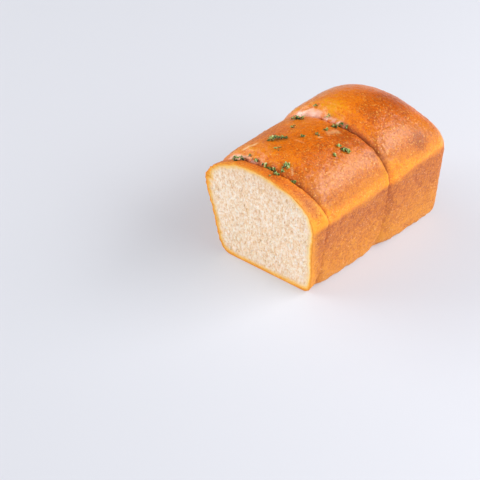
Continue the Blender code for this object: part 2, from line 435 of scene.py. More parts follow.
def reliefAt(co, across, wall, gaps, butter):
    # how far the skin stands off the even form: the slow unevenness, the finer relief, and a bubble's share
    look = crustRelief
    uneven = look["unevenDepth"] * noise.noise(co / look["unevenLength"])
    skin = sum(depth * noise.noise(co / length) for depth, length in look["skin"])
    wrinkle = noise.noise(Vector([co[axis] / look["wrinkleSize"][axis] for axis in range(3)]))
    nearCrease = max(bump(*look["wrinkleAt"], gap) for gap in gaps)
    skin += look["wrinkleDepth"] * wrinkle * mix(look["wrinkleAway"], 1.0, nearCrease)
    bubble = 0.0
    distances, points = noise.voronoi(co / look["bubbleSpacing"])
    if noise.cell(points[0] * 9.7) > 0.0:
        radius, vary = look["bubbleRadius"]
        bubble = fade(0.0, radius + vary * noise.cell(points[0] * 5.3), distances[0])
        bubble *= 1.0 - wall
        skin += look["bubbleHeight"] * bubble
    skin *= 1.0 - look["butterLevels"] * butter
    pits = sum(depth * noise.noise(co / length) for depth, length in look["pits"])
    nubs = look["nubDepth"] * noise.noise(co / look["nubLength"])
    fine = mix(skin, pits, wall) + nubs * fade(0.0, look["nubsUpTo"], co.z)
    for gap, (start, full) in zip(gaps, look["lipFrom"]):
        if -look["lipReach"] * 2.0 < gap < 0.0:
            lip = smooth(start, full, across) * bump(look["lipAt"], look["lipReach"], gap)
            fine += look["lipHeight"] * lip * (1.0 - wall)
    torn = fade(0.0, look["tornReach"], cutGap(co)) * smooth(0.0, look["tornTo"], -co.x)
    fine += look["tornDepth"] * noise.noise(co / look["tornLength"]) * torn
    return uneven, fine + spotsAt(co, look["lumps"]), bubble


# how baked a place is: 0 pale gold, 1 chestnut; a few patches are painted shade
crustBakeAndShade = {
    # height above the table and how baked, level at the sides
    "sides": (
        (0.066, 0.16), (0.071, 0.04), (0.076, 0.18), (0.081, 0.42),
        (0.088, 0.58), (0.1, 0.46), (0.106, 0.6),
    ),
    "sidesUp": (0.0008, 0.0046),  # so much higher at the near lobes and at the far one
    "sidesFar": 0.014,
    "crown": (0.38, 0.6),  # at the left and at the right
    "crownSides": (-0.022, 0.012),
    "crownFrom": (0.098, 0.106),
    "slopePale": 0.18,  # the near slopes of the lobes, by the creases, and how far to the right
    "slopeRight": (0.026, 0.046),
    "slopeFade": 0.015,
    "slopeGap": (0.004, 0.01, 0.022),
    "cutPale": (0.12, 0.32),  # gold along the cut, most at the right
    "cutRight": (0.02, 0.042),
    "cutReach": 0.006,
    "cloudLength": 0.022,
    "cloudAmount": 0.1,
    # patches: across, along, up, reach, how much darker
    "patches": (
        (0.018, 0.124, 0.113, 0.03, 0.34), (0.035, 0.128, 0.102, 0.018, 0.02),
        (0.01, 0.14, 0.1, 0.024, 0.14), (-0.014, 0.088, 0.1115, 0.017, -0.22),
        (0.011, 0.019, 0.11, 0.01, -0.12), (0.033, 0.0733, 0.1007, 0.014, 0.26),
        (0.02, 0.067, 0.106, 0.015, 0.42), (0.021, 0.076, 0.104, 0.007, 0.2),
        (0.03, 0.077, 0.101, 0.007, 0.3), (0.038, 0.08, 0.096, 0.007, 0.3),
        # painted shade: the second patch on this line and both on the next darken the first crease's gap, on
        # its near side
        (0.0, 0.088, 0.11, 0.02, -0.22), (-0.0185, -0.002, 0.1015, 0.003, 0.6),
        (-0.014, -0.0025, 0.1025, 0.003, 0.6), (-0.0095, -0.0035, 0.1035, 0.003, 0.6),
        (0.0506, 0.0883, 0.0695, 0.0022, 0.9), (0.0519, 0.0712, 0.07, 0.0015, 0.8),
        (-0.0515, -0.012, 0.0775, 0.006, -0.6), (0.026, 0.009, 0.103, 0.012, 0.1),
        (-0.026, 0.033, 0.106, 0.02, 0.2), (0.05, 0.1225, 0.0895, 0.018, 0.22),
        (0.0144, 0.0982, 0.1142, 0.012, 0.2), (0.024, 0.097, 0.111, 0.012, 0.22),
        (0.028, 0.0885, 0.1075, 0.01, 0.14), (0.0365, 0.0889, 0.1028, 0.01, 0.22),
        (0.0406, 0.0776, 0.0944, 0.006, 0.2), (0.0496, 0.123, 0.0902, 0.012, 0.22),
        (0.0165, 0.0422, 0.109, 0.01, 0.2), (0.0381, 0.0166, 0.0974, 0.006, 0.18),
        (0.0026, 0.0786, 0.1087, 0.007, -0.24), (-0.0059, 0.0765, 0.1075, 0.006, -0.24),
        (0.047, 0.0085, 0.085, 0.008, -0.3), (0.05, 0.012, 0.078, 0.01, -0.22),
        (0.048, 0.089, 0.085, 0.01, -0.3),
    ),
}


def alongSteps(steps, value):
    # a value between the two steps that it lies between
    for (low, first), (high, second) in zip(steps, steps[1:]):
        if value < high:
            return mix(first, second, smooth(low, high, value))
    return steps[-1][1]


def bakeAndShadeAt(co, gaps):
    look = crustBakeAndShade
    crown = mix(*look["crown"], smooth(*look["crownSides"], co.x))
    rise = mix(*look["sidesUp"], smooth(0.0, look["sidesFar"], gaps[1]))
    level = mix(alongSteps(look["sides"], co.z - rise), crown, smooth(*look["crownFrom"], co.z))
    start, full, end = look["slopeGap"]
    for gap, right in zip(gaps, look["slopeRight"]):
        slope = smooth(0.0, start, gap) * fade(full, end, gap)
        level -= look["slopePale"] * slope * fade(right - look["slopeFade"], right, co.x)
    golden = mix(*look["cutPale"], smooth(*look["cutRight"], co.x))
    level -= golden * fade(0.0, look["cutReach"], cutGap(co))
    level += spotsAt(co, look["patches"])
    return level + look["cloudAmount"] * noise.noise(co / look["cloudLength"])


paintedGlints = {
    # painted highlights, pale glints on the butter glaze: from and to, across and along, half as wide, how
    # pale
    "marks": (
        ((-0.0297, 0.005), (-0.0243, 0.0139), 0.0015, 0.6),
        ((0.0172, 0.0092), (0.021, 0.006), 0.0006, 0.5),
        ((0.0095, 0.0595), (0.0118, 0.0665), 0.003, 0.28),
        ((0.0085, 0.049), (0.0102, 0.0512), 0.0008, 0.5),
        ((-0.001, 0.033), (0.006, 0.0345), 0.0008, 0.25),
    ),
    "fade": (0.2, 1.3),
    "ragged": 0.5,
    "raggedLength": 0.0025,
}


def paintedGlintAt(co):
    look = paintedGlints
    ragged = look["ragged"] * noise.noise(co / look["raggedLength"])
    share = 0.0
    for start, end, width, amount in look["marks"]:
        start, end, place = Vector(start), Vector(end), co.xy
        along = min(1.0, max(0.0, (place - start).dot(end - start) / (end - start).length_squared))
        away = (place - start.lerp(end, along)).length / width + ragged
        share = max(share, amount * fade(*look["fade"], away))
    return share


butterAndGlintLook = {
    # butter runs in the creases, whose pale tint is partly a painted highlight: which crease, from and to
    # across, how far up its near and far sides, how much
    "runs": (
        (1, -0.0335, -0.0165, 0.0012, 0.0049, 1.0),
        (1, -0.008, 0.0085, 0.0008, 0.003, 0.9),
        (0, -0.036, -0.024, 0.001, 0.004, 0.6),
        (0, -0.02, -0.012, 0.0008, 0.003, 0.5),
    ),
    "ends": (0.004, 0.005),
    "fade": (0.55, 1.0),
    "ragged": 0.5,
    "raggedLength": 0.0045,
    "brokenFrom": -0.03,  # runs that start farther right are broken into drops
    "broken": (-0.15, 0.1),
    "brokenLength": 0.003,
}


def butterAndGlintAt(co, gaps):
    look = butterAndGlintLook
    ragged = look["ragged"] * noise.noise(co / look["raggedLength"])
    broken = smooth(*look["broken"], noise.noise(co / look["brokenLength"]))
    leftEnd, rightEnd = look["ends"]
    share = 0.0
    for crease, left, right, nearSide, farSide, amount in look["runs"]:
        gap = gaps[crease]
        reach = nearSide if gap < 0.0 else farSide
        along = smooth(left - leftEnd, left, co.x) * fade(right, right + rightEnd, co.x)
        if left > look["brokenFrom"]:
            along *= broken
        share = max(share, amount * along * fade(*look["fade"], abs(gap) / reach - ragged))
    return share


# painted shade: a thin dark line along each crease, where shade falls, wider behind the second one at the
# right, where it is partly darker bake
creaseShadeAndBrown = {
    "near": (0.0006, 0.0007),  # how far the brown reaches, for each crease
    "far": (0.0007, 0.0005),
    "farRight": (0.0013, 0.0014),
    "rightFrom": ((0.022, 0.034), (0.004, 0.014)),
    "domeFrom": (0.084, 0.096),
    "low": 0.0006,  # below the dome, and down the walls
    "walls": 0.0011,
    "crownShare": (0.35, 0.45),  # how strong it is at the top of the dome
    "crownTo": ((0.014, 0.03), (0.006, 0.016)),
    "footShare": 0.3,  # and at the foot of the walls
    "footTo": (0.035, 0.055),
}


def creaseShadeAndBrownAt(co, wall, gaps):
    look = creaseShadeAndBrown
    top = smooth(*look["domeFrom"], co.z)
    strength = mix(1.0, mix(look["footShare"], 1.0, smooth(*look["footTo"], co.z)), wall)
    share = 0.0
    for index, gap in enumerate(gaps):
        right = smooth(*look["rightFrom"][index], co.x)
        reach = look["near"][index] if gap < 0.0 else mix(look["far"][index], look["farRight"][index], right)
        reach = mix(mix(look["low"], reach, top), look["walls"], wall)
        sideward = mix(look["crownShare"][index], 1.0, smooth(*look["crownTo"][index], co.x))
        share = max(share, math.exp(-abs(gap) / reach) * mix(sideward, 1.0, wall) * strength)
    return share


crustFinish = {
    "wallFade": (0.004, 0.003),  # the pressed walls end from so far below to so far above the shoulder
    "wallRise": (0.005, 0.028),  # and rise so much, over such a length of the far lobe
    "flank": (0.25, 0.7),  # painted shade: how far the skin faces sideways, where the dome's colour is darkened
    "borderReach": (0.0042, 0.0085),  # how far the crust is golden from the cut, and low at the right
    "borderRight": (0.038, 0.047),
    "borderLow": (0.07, 0.085),
    "borderVary": 0.0022,
    "borderLength": 0.0025,
    "leftMatte": 0.7,  # the left flank, up to so far along
    "leftFacing": (0.2, 0.5),
    "leftTo": (0.06, 0.072),
    "firstLobe": (-0.001, 0.002),  # the first lobe is all matte
    "besideMatte": 0.9,  # beside the creases, from so far to the right
    "besideReach": 0.008,
    "besideFrom": (0.01, 0.025),
}


def wallShare(z, gaps):
    # 1 where the tin pressed the loaf
    below, above = crustFinish["wallFade"]
    rise, length = crustFinish["wallRise"]
    top = loafShape["shoulderHeight"] + rise * smooth(0.0, length, gaps[1])
    return fade(top - below, top + above, z)


def finishAt(co, normal, wall, gaps):
    # how golden by the cut, and how matte
    look = crustFinish
    away = cutGap(co) + look["borderVary"] * noise.noise(co / look["borderLength"])
    lowRight = smooth(*look["borderRight"], co.x) * fade(*look["borderLow"], co.z)
    border = fade(0.0, mix(*look["borderReach"], lowRight), away)
    left = smooth(*look["leftFacing"], -normal.x) * fade(*look["leftTo"], co.y)
    firstLobe = fade(*look["firstLobe"], gaps[0])
    beside = max(bump(0.0, look["besideReach"], gap) for gap in gaps) * smooth(*look["besideFrom"], co.x)
    return border, max(wall, firstLobe, look["leftMatte"] * left, look["besideMatte"] * beside)


cutLook = {
    "snap": 0.0003,
    "rimWidth": 0.0025,
    "rimEvening": 8,  # rounds that even the rim's inner line
    "rimVary": 0.0013,
    "rimLength": 0.005,
    "rimLumps": ((-0.0495, -0.0148, 0.079, 0.006, 0.003), (-0.049, -0.0138, 0.071, 0.0045, 0.002)),
    "rimRough": 0.0003,
    "rimGrain": (0.0012, 0.002),  # finer where the rim is thin, coarser on a lump
    "lumpRough": 0.4,
    "pocketDepth": 0.0036,
    "pocketTaper": 0.94,  # keeps the pocket's floor under the crust, which falls towards the crease
}


def openCut(mesh):
    # cuts the near end off, makes a rim of crust and a pocket for the crumb, and gives the rim's inner line
    outwards = cutPlane()[2]
    parts = mesh.verts[:] + mesh.edges[:] + mesh.faces[:]
    bmesh.ops.bisect_plane(
        mesh, geom=parts, dist=cutLook["snap"], plane_co=(0.0, 0.0, 0.0),
        plane_no=-outwards, clear_inner=True, use_snap_center=True,
    )
    border = [edge for edge in mesh.edges if edge.is_boundary]
    face = bmesh.ops.holes_fill(mesh, edges=border, sides=0)["faces"][0]
    bmesh.ops.recalc_face_normals(mesh, faces=mesh.faces)
    line = makeRim(mesh, face, outwards)
    sinkPocket(mesh, face, outwards)
    return line


def makeRim(mesh, face, outwards):
    look = cutLook
    rim = bmesh.ops.inset_region(mesh, faces=[face], thickness=look["rimWidth"], use_even_offset=True)
    inner = [loop.vert for loop in face.loops]
    count = len(inner)
    for _ in range(look["rimEvening"]):
        line = [vert.co.copy() for vert in inner]
        for step, vert in enumerate(inner):
            vert.co = (line[step - 1] + line[step] + line[(step + 1) % count]) / 3.0
    rind = mesh.verts.layers.float["rind"]
    spokes = []
    for vert in inner:
        spoke = next(edge for edge in vert.link_edges if edge.other_vert(vert) not in inner)
        inwards = (vert.co - spoke.other_vert(vert).co).normalized()
        lump = spotsAt(vert.co, look["rimLumps"])
        vert.co += inwards * (look["rimVary"] * noise.noise(vert.co / look["rimLength"]) + lump)
        vert[rind] = 1.0
        spokes.append(spoke)
    line = [vert.co.copy() for vert in inner]
    for part in rim["faces"]:
        part.material_index = 1
    bmesh.ops.subdivide_edges(mesh, edges=spokes, cuts=2)
    ends = set(inner)
    highest = look["rimLumps"][0][-1]
    for vert in mesh.verts:
        inRim = all(part.material_index == 1 for part in vert.link_faces)
        if inRim and vert not in ends and not vert.is_boundary:
            lump = spotsAt(vert.co, look["rimLumps"])
            grain = noise.noise(vert.co / mix(*look["rimGrain"], lump / highest))
            vert.co += outwards * (look["rimRough"] + look["lumpRough"] * lump) * grain
    return line


def sinkPocket(mesh, face, outwards):
    pocket = bmesh.ops.extrude_face_region(mesh, geom=[face])["geom"]
    if face.is_valid:
        bmesh.ops.delete(mesh, geom=[face], context="FACES_ONLY")
    deeper = [part for part in pocket if isinstance(part, bmesh.types.BMVert)]
    middle = sum((vert.co for vert in deeper), Vector()) / len(deeper)
    for vert in deeper:
        vert.co = middle + (vert.co - middle) * cutLook["pocketTaper"] - outwards * cutLook["pocketDepth"]


# what the crust's materials read at each vertex
crustLayers = ("bake", "wall", "crease", "butter", "relief", "bubble", "pale", "flank", "matte", "border")


def makeCrust(materials):
    mesh = gridBlock((acrossLines(), alongLines(), upLines()))
    layers = [mesh.verts.layers.float.new(name) for name in (*crustLayers, "rind")]
    places = [vert.co.copy() for vert in mesh.verts]
    for vert in mesh.verts:
        vert.co = crustPoint(*vert.co)
    mesh.normal_update()
    moves = []
    for vert, (across, run, _) in zip(mesh.verts, places):
        co = vert.co
        gaps = creaseGaps(run)
        wall = wallShare(co.z, gaps)
        butter = butterAndGlintAt(co, gaps)
        uneven, fine, bubble = reliefAt(co, across, wall, gaps, butter)
        border, matte = finishAt(co, vert.normal, wall, gaps)
        # painted shade: how far the skin faces sideways
        flank = smooth(*crustFinish["flank"], abs(vert.normal.x))
        # painted highlights: pale glints on the glaze
        pale = paintedGlintAt(co) * (1.0 - wall)
        # painted shade: how dark the crease lines are painted
        crease = creaseShadeAndBrownAt(co, wall, gaps)
        values = (bakeAndShadeAt(co, gaps), wall, crease, butter, fine, bubble, pale, flank, matte, border)
        for layer, value in zip(layers, values):
            vert[layer] = value
        moves.append(vert.normal * (uneven + fine) * smooth(0.0, crustRelief["standing"], co.z))
    for vert, move in zip(mesh.verts, moves):
        vert.co += move
        vert.co.z = max(0.0, vert.co.z)
    base = [face for face in mesh.faces if all(vert.co.z < 1e-7 for vert in face.verts)]
    bmesh.ops.dissolve_faces(mesh, faces=base)
    rimLine = openCut(mesh)
    return addPiece("crustShell", mesh, materials, math.radians(60.0)), rimLine


# the lengths of the crust's patterns
crustGrain = {
    "mottle": 0.006,
    "fine": 0.0015,
    "folds": 0.0036,
    "specks": 0.0021,
    "flecks": 0.0011,
    "pitted": 0.0017,
    "crumbsAndGlints": 0.0026,
    "rim": 0.0012,
}

crustColours = {
    "dome": (
        (0.0, (0.8, 0.31, 0.004)),
        (0.15, (0.81, 0.242, 0.002)),
        (0.3, (0.79, 0.196, 0.001)),
        (0.45, (0.74, 0.164, 0.001)),
        (0.6, (0.66, 0.132, 0.001)),
        (0.8, (0.53, 0.096, 0.001)),
        (1.0, (0.4, 0.066, 0.001)),
    ),
    "walls": (
        (0.0, (0.71, 0.262, 0.02)),
        (0.3, (0.59, 0.176, 0.018)),
        (0.6, (0.495, 0.132, 0.018)),
        (1.0, (0.34, 0.072, 0.013)),
    ),
    "flank": rgb(0.79, 0.97, 1.0),  # painted shade: multiplies the dome's colour where the skin faces sideways
    # partly the paler blisters' own colour, partly painted highlights on tiny bubbles
    "golden": rgb(0.96, 0.53, 0.1),
    # painted shade along the creases
    "creases": rgb(0.24, 0.055, 0.004),
    # pale specks on the walls: partly crumbs of dough, partly painted glints
    "crumbsAndGlints": rgb(0.95, 0.6, 0.36),
    "border": rgb(0.93, 0.37, 0.025),
    # the colour of the painted glints
    "pale": rgb(0.95, 0.7, 0.36),
    # the butter's pale pink tint: partly its own colour, partly a painted highlight
    "butter": rgb(0.93, 0.64, 0.52),
    # the cut crust is brown outside, golden and soft towards the crumb
    "rim": (
        (0.05, (0.78, 0.25, 0.01)),
        (0.35, (0.9, 0.36, 0.022)),
        (0.65, (0.95, 0.52, 0.095)),
        (0.95, (0.97, 0.67, 0.27)),
    ),
}


def crustMaterial():
    paint = Paint(bpy.data.materials.new("bakedCrust"))
    colours = crustColours
    sizes = crustGrain
    layers = [paint.attribute(name) for name in crustLayers]
    bake, wall, crease, butter, relief, bubble, pale, flank, matte, border = layers
    mottle = paint.noise(sizes["mottle"], 3.0, 0.6)
    fine = paint.noise(sizes["fine"], 3.0, 0.7)
    blisters = 1.0 - paint.cells(sizes["fine"]).ease(0.05, 0.6)
    folds = 1.0 - (paint.noise(sizes["folds"], 2.0, 0.6) - 0.5).size().ease(0.0, 0.05)
    # painted shade: the dome is darker where its relief sinks, along the fold lines and in the creases, and
    # paler on the blisters
    uneven = (mottle - 0.5) * 0.5 + (fine - 0.5) * 1.5 - (blisters - 0.35) * 0.15 - relief * 350.0
    dome = paint.ramp(bake + uneven + crease * 0.5 + folds * 0.04, colours["dome"])
    # painted shade: the dome is darker and less red where it faces sideways
    dome = paint.mixColour(flank * bake.ease(0.05, 0.4), dome, colours["flank"], "MULTIPLY")
    # golden specks, flecks and bubble tops: partly paler blisters, partly painted highlights on the tiny
    # bubbles
    specks, speckOdds = paint.dots(sizes["specks"], 0.1, 0.36)
    flecks = paint.noise(sizes["flecks"], 2.0, 0.6).ease(0.6, 0.74) * mottle.ease(0.35, 0.6)
    golden = specks * speckOdds * mottle.ease(0.3, 0.62) * 0.7 + blisters * fine.ease(0.45, 0.65) * 0.36
    golden = (golden + flecks * 0.6 + bubble * 0.4) * (1.0 - wall)
    dome = paint.mixColour(golden, dome, colours["golden"])
    # painted shade: the dark line along the creases
    dome = paint.mixColour(crease * crease * 0.75, dome, colours["creases"])
    height = paint.along("Z")
    pitted = paint.noise(sizes["pitted"], 3.0, 0.75)
    dots, dotOdds = paint.dots(sizes["specks"], 0.12, 0.34)
    # pale specks on the walls: partly crumbs of dough, partly painted glints
    crumbsAndGlints, crumbAndGlintOdds = paint.dots(sizes["crumbsAndGlints"], 0.1, 0.3)
    wallLevel = height.ease(0.0, 0.064) * 0.55 + (pitted - 0.5) * 2.6 + (mottle - 0.5) * 0.5
    # painted shade: the walls are darker in the creases, in the dots pressed into them and where their relief
    # sinks
    wallLevel = wallLevel + dots * dotOdds * 0.5 + crease * 0.45 - relief * 500.0
    side = paint.ramp(wallLevel, colours["walls"])
    side = paint.mixColour(crumbsAndGlints * crumbAndGlintOdds * 0.4, side, colours["crumbsAndGlints"])
    colour = paint.mixColour(wall, dome, side)
    colour = paint.mixColour(border * (wall * 0.25 + 0.25), colour, colours["border"])
    # painted highlights: the pale glints on the glaze
    colour = paint.mixColour(pale, colour, colours["pale"])
    # the butter's tint, partly a painted highlight
    colour = paint.mixColour(butter * 0.6, colour, colours["butter"])
    roughness = 0.31 + matte * 0.28 + uneven * 0.15 + crease * 0.2 - butter * 0.04
    skin = (fine * 0.8 + blisters * 0.5 + specks * speckOdds * 0.5 - folds * 0.5) * (1.0 - butter * 0.8)
    bumpHeight = skin * (1.0 - wall) + (pitted * 3.0 - dots * dotOdds + crumbsAndGlints * crumbAndGlintOdds) * wall
    return paint.finish(
        Base_Color=colour, Roughness=roughness, Coat_Weight=butter * 0.35, Coat_Roughness=0.25,
        Specular_IOR_Level=0.5, bumpHeight=bumpHeight, bumpDepth=0.00014,
    )


def rimMaterial():
    paint = Paint(bpy.data.materials.new("cutCrust"))
    fine = paint.noise(crustGrain["rim"], 3.0, 0.6)
    clouds = paint.noise(crustGrain["mottle"], 2.0, 0.5)
    right = paint.along("X").ease(0.02, 0.045)
    depth = paint.attribute("rind") * (right * 0.25 + 0.75) + (fine - 0.5) * 0.9 + (clouds - 0.5) * 0.6
    colour = paint.ramp(depth, crustColours["rim"])
    return paint.finish(Base_Color=colour, Roughness=0.7, bumpHeight=fine, bumpDepth=0.0003)


crustShell, rimLine = makeCrust([crustMaterial(), rimMaterial()])

crumbLook = {
    "step": 0.00038,
    "depth": 0.003,
    "taper": 0.95,
    "tuck": 0.0004,
    "dip": 0.0001,
    "dipReach": 0.0012,
    "edgeSlope": 0.7,  # the cells at the edge stay shallower than the pocket's side
    "swell": 0.0003,
    "swellLength": 0.018,
    "bend": (0.0016, 0.012),  # the cells' rows wander so much, over such lengths
    "cellSize": (0.0012, 0.0029),
    "cellDepth": 0.0009,
    "cellWall": 0.85,
    "cellVary": 0.45,
    "holeSize": (0.0034, 0.006),
    "holeDepth": 0.0009,
    "holeWall": (0.15, 0.75),
    "holeOdds": 0.8,
    "fibreSize": (0.0008, 0.0018),
    "fibreDepth": 0.00035,
    "margin": 0.002,
    "upright": (1.0, 1.0, 0.5),  # the patterns are drawn out upwards
    "fineLength": 0.001,
    "threadLength": 0.0022,
    "cloudLength": 0.0085,
}


def flatLine(line):
    right, up, outwards = cutPlane()
    return [Vector((point.dot(right), point.dot(up), 0.0)) for point in line]


class InsideLine:
    # how far a point lies inside a closed flat line, less than 0 outside it

    def __init__(self, line):
        self.line = line
        self.tree = KDTree(len(line))
        for index, point in enumerate(line):
            self.tree.insert(point, index)
        self.tree.balance()
        area = sum(a.x * b.y - b.x * a.y for a, b in zip(line, line[1:] + line[:1]))
        self.turn = 1.0 if area > 0.0 else -1.0

    def nearest(self, point):
        index = self.tree.find(point)[1]
        best = None
        for start in (index - 1, index):
            a = self.line[start]
            b = self.line[(start + 1) % len(self.line)]
            side = b - a
            share = min(1.0, max(0.0, (point - a).dot(side) / side.length_squared))
            foot = a + side * share
            gap = point - foot
            if best is None or gap.length < best[0]:
                inside = (side.x * gap.y - side.y * gap.x) * self.turn > 0.0
                best = (gap.length, foot, inside)
        return (best[0] if best[2] else -best[0]), best[1]


def inSizes(point, size, layer):
    return Vector((point.x / size[0], point.y / size[1], layer))


def cellRelief(point):
    # the open cells of the crumb: how deep, and how much of a cell this is
    look = crumbLook
    bendDepth, bendLength = look["bend"]
    sideways = noise.noise(point / bendLength)
    upwards = noise.noise(point / bendLength + Vector((5.0, 0.0, 0.0)))
    bent = point + Vector((sideways, upwards, 0.0)) * bendDepth
    distances, points = noise.voronoi(inSizes(bent, look["cellSize"], 3.1))
    vary = 1.0 - look["cellVary"] + look["cellVary"] * noise.cell(points[0] * 7.7)
    depth = smooth(0.0, look["cellWall"], distances[1] - distances[0]) * vary
    distances, points = noise.voronoi(inSizes(bent, look["holeSize"], 9.7))
    hole = 0.0
    if noise.cell(points[0] * 5.9) > look["holeOdds"]:
        hole = smooth(*look["holeWall"], distances[1] - distances[0])
    fibre = noise.noise(inSizes(bent, look["fibreSize"], 1.0))
    height = -look["cellDepth"] * depth - look["holeDepth"] * hole + look["fibreDepth"] * fibre
    return height, min(1.0, max(depth, hole))


def makeCrumb(line, materials):
    look = crumbLook
    inside = InsideLine(flatLine(line))
    low = Vector((min(point.x for point in inside.line), min(point.y for point in inside.line), 0.0))
    high = Vector((max(point.x for point in inside.line), max(point.y for point in inside.line), 0.0))
    middle = (low + high) / 2.0
    size = max(high.x - low.x, high.y - low.y) / 2.0 + look["margin"]
    steps = round(2.0 * size / look["step"])
    mesh = bmesh.new()
    bmesh.ops.create_grid(mesh, x_segments=steps, y_segments=steps, size=size)
    bmesh.ops.translate(mesh, verts=mesh.verts, vec=middle)
    edgeLayer = mesh.verts.layers.float.new("rimGap")
    cellLayer = mesh.verts.layers.float.new("cell")
    gaps = {vert: inside.nearest(vert.co) for vert in mesh.verts}
    outside = [vert for vert in mesh.verts if gaps[vert][0] < -look["tuck"]]
    bmesh.ops.delete(mesh, geom=outside, context="VERTS")
    for vert in mesh.verts:
        gap, foot = gaps[vert]
        if vert.is_boundary:
            away = (vert.co - foot) if gap < 0.0 else (foot - vert.co)
            if away.length > 1e-6:
                vert.co = foot + away.normalized() * look["tuck"]
            gap = -look["tuck"]
        height, cell = cellRelief(vert.co)
        opened = smooth(0.0, look["dipReach"], gap)
        swell = look["swell"] * noise.noise(vert.co / look["swellLength"])
        lowest = -look["dip"] - look["edgeSlope"] * max(0.0, gap)
        vert[edgeLayer] = gap
        # the cell share, which darkens the crumb's colour as painted shade
        vert[cellLayer] = cell * opened
        vert.co.z = max(mix(-look["dip"], height + swell, opened), lowest)
    border = [edge for edge in mesh.edges if edge.is_boundary]
    wall = bmesh.ops.extrude_edge_only(mesh, edges=border)["geom"]
    deep = [part for part in wall if isinstance(part, bmesh.types.BMVert)]
    for vert in deep:
        vert.co = middle + (vert.co - middle) * look["taper"]
        vert.co.z = -look["depth"]
    bmesh.ops.holes_fill(mesh, edges=[edge for edge in mesh.edges if edge.is_boundary], sides=0)
    bmesh.ops.recalc_face_normals(mesh, faces=mesh.faces)
    right, up, outwards = cutPlane()
    mesh.transform(Matrix((right, up, outwards)).transposed().to_4x4())
    return addPiece("crumbFace", mesh, materials, math.radians(80.0))


crumbColours = {
    "inner": (
        (0.0, (0.975, 0.87, 0.75)),
        (0.5, (0.91, 0.68, 0.455)),
        (1.0, (0.77, 0.465, 0.225)),
    ),
    # warmer near the top, and darker and warmer towards the foot as painted shade
    "warm": rgb(0.74, 0.45, 0.24),
    "edge": (rgb(0.95, 0.58, 0.17), rgb(0.97, 0.7, 0.34)),  # at the left and at the right
}


def crumbMaterial():
    paint = Paint(bpy.data.materials.new("softCrumb"))
    gap = paint.attribute("rimGap")
    cell = paint.attribute("cell")
    upright = paint.node("Mapping", None, {"Vector": paint.place, "Scale": crumbLook["upright"]})
    fine = paint.noise(crumbLook["fineLength"], 3.0, 0.7, upright)
    threads = paint.noise(crumbLook["threadLength"], 2.0, 0.6, upright)
    clouds = paint.noise(crumbLook["cloudLength"], 3.0, 0.6)
    height = paint.along("Z")
    # painted shade: the crumb is darker in its open cells; the grain and threads are its own tone
    shade = cell * 0.36 + (fine - 0.5) * 2.0 + (threads - 0.5) * 2.0 + 0.36
    inner = paint.ramp(shade, crumbColours["inner"])
    # warmer near the top, and darker and warmer towards the foot as painted shade
    warm = height.ease(0.07, 0.105) * 0.28 + (1.0 - height.ease(0.0, 0.03)) * 0.2
    warm = warm + (clouds - 0.5) * 0.8 + 0.06
    inner = paint.mixColour(warm.ease(0.0, 1.0), inner, crumbColours["warm"])
    edge = (gap + (clouds - 0.5) * 0.003 + (fine - 0.5) * 0.007).ease(-0.0006, 0.004)
    right = paint.along("X").ease(0.02, 0.045)
    colour = paint.mixColour(right, *crumbColours["edge"])
    colour = paint.mixColour(edge, colour, inner)
    return paint.finish(
        Base_Color=colour, Roughness=0.85, Subsurface_Weight=0.2, Subsurface_Radius=(0.004, 0.0022, 0.0012),
        Subsurface_Scale=0.1, bumpHeight=fine, bumpDepth=0.0005,
    )


makeCrumb(rimLine, [crumbMaterial()])

parsleyLook = {
    # across, along, number of flakes, spread
    "clumps": (
        (-0.0242, -0.0058, 8, 0.0042), (-0.0179, 0.0006, 1, 0.0), (-0.0115, -0.0006, 3, 0.002),
        (0.0001, -0.0006, 4, 0.0032), (0.0075, 0.0005, 3, 0.0022), (0.0111, -0.0089, 1, 0.0),
        (0.0137, -0.0018, 2, 0.003), (0.0252, 0.0038, 3, 0.0018), (0.0128, 0.0036, 1, 0.0),
        (0.0134, 0.0074, 5, 0.003), (-0.0023, 0.0151, 2, 0.0018), (-0.0149, 0.023, 4, 0.0034),
        (-0.0099, 0.0278, 4, 0.0034), (0.0009, 0.0398, 2, 0.0014), (-0.0162, 0.046, 2, 0.0012),
        (0.0281, 0.0456, 1, 0.0), (0.0063, 0.05, 2, 0.0014), (0.0252, 0.0557, 2, 0.0018),
        (0.0302, 0.0572, 4, 0.0028), (-0.0278, 0.0598, 2, 0.001), (0.0061, 0.0607, 2, 0.0014),
        (-0.0231, 0.0627, 6, 0.0042), (0.0066, 0.0706, 3, 0.0024), (-0.0076, 0.0771, 2, 0.0016),
        (0.0069, 0.0775, 3, 0.0024), (0.0118, 0.0779, 1, 0.0), (-0.0231, 0.0802, 1, 0.0),
    ),
    "bitsPerFlake": 3.0,
    "bigHeap": (4, 1.4),  # heaps of so many flakes have so many times the bits
    "spreadMore": 0.0008,
    "heapTurn": math.radians(45.0),  # the heaps are longer one way, and lie along a crease that is near
    "heapWidth": 0.55,
    "creaseReach": 0.0025,
    "creaseTurn": 0.1,
    "creaseWidth": 0.3,
    "length": (0.0016, 0.0044),
    "thickness": 0.07,  # of the length
    "lift": (0.0002, 0.0023),
    "liftShare": (0.7, 0.1),  # and so much more for each flake of the heap
    "tilt": math.radians(62.0),
    "tone": (0.3, 0.9),
    "paintedTopLight": (-0.5, 0.42),  # painted light and shade: darker on a bit's lower side, lighter on its upper side
    "lowShade": 0.2,  # the bits that lie low in a heap are shaded
    "veinLength": 0.0006,
    "seed": 11,
}


